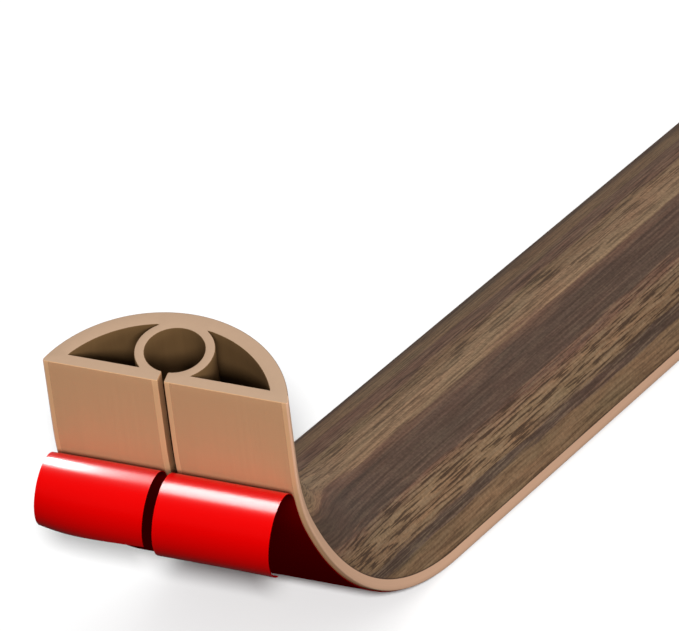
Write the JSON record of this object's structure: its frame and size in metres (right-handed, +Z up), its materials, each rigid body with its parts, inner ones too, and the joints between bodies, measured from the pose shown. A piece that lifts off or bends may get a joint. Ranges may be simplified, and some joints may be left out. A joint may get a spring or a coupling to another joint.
{
  "type": "floor cord cover",
  "caption": "Domed soft PVC floor cord cover with a slit cord channel between side chambers, one end turned up, and red tape liners peeled back into curls.",
  "frame": {"origin": "centre of the bounding box on the floor, z=0 on the underside of the release liners", "axes": "+X along the cover from its raised end to its far end, +Y across the cover, +Z up"},
  "size_m": [0.9706, 0.06, 0.0927],
  "materials": {
    "printed_pvc": "tan flexible PVC, satin, with a dark walnut grain printed on the dome",
    "clear_tape": "clear double-sided adhesive tape, satin",
    "red_liner": "red release film, high gloss"
  },
  "bodies": {
    "root": {"cover_profile": "printed_pvc", "tape_left": "clear_tape", "tape_right": "clear_tape", "liner_left": "red_liner", "liner_right": "red_liner"}
  },
  "joints": []
}
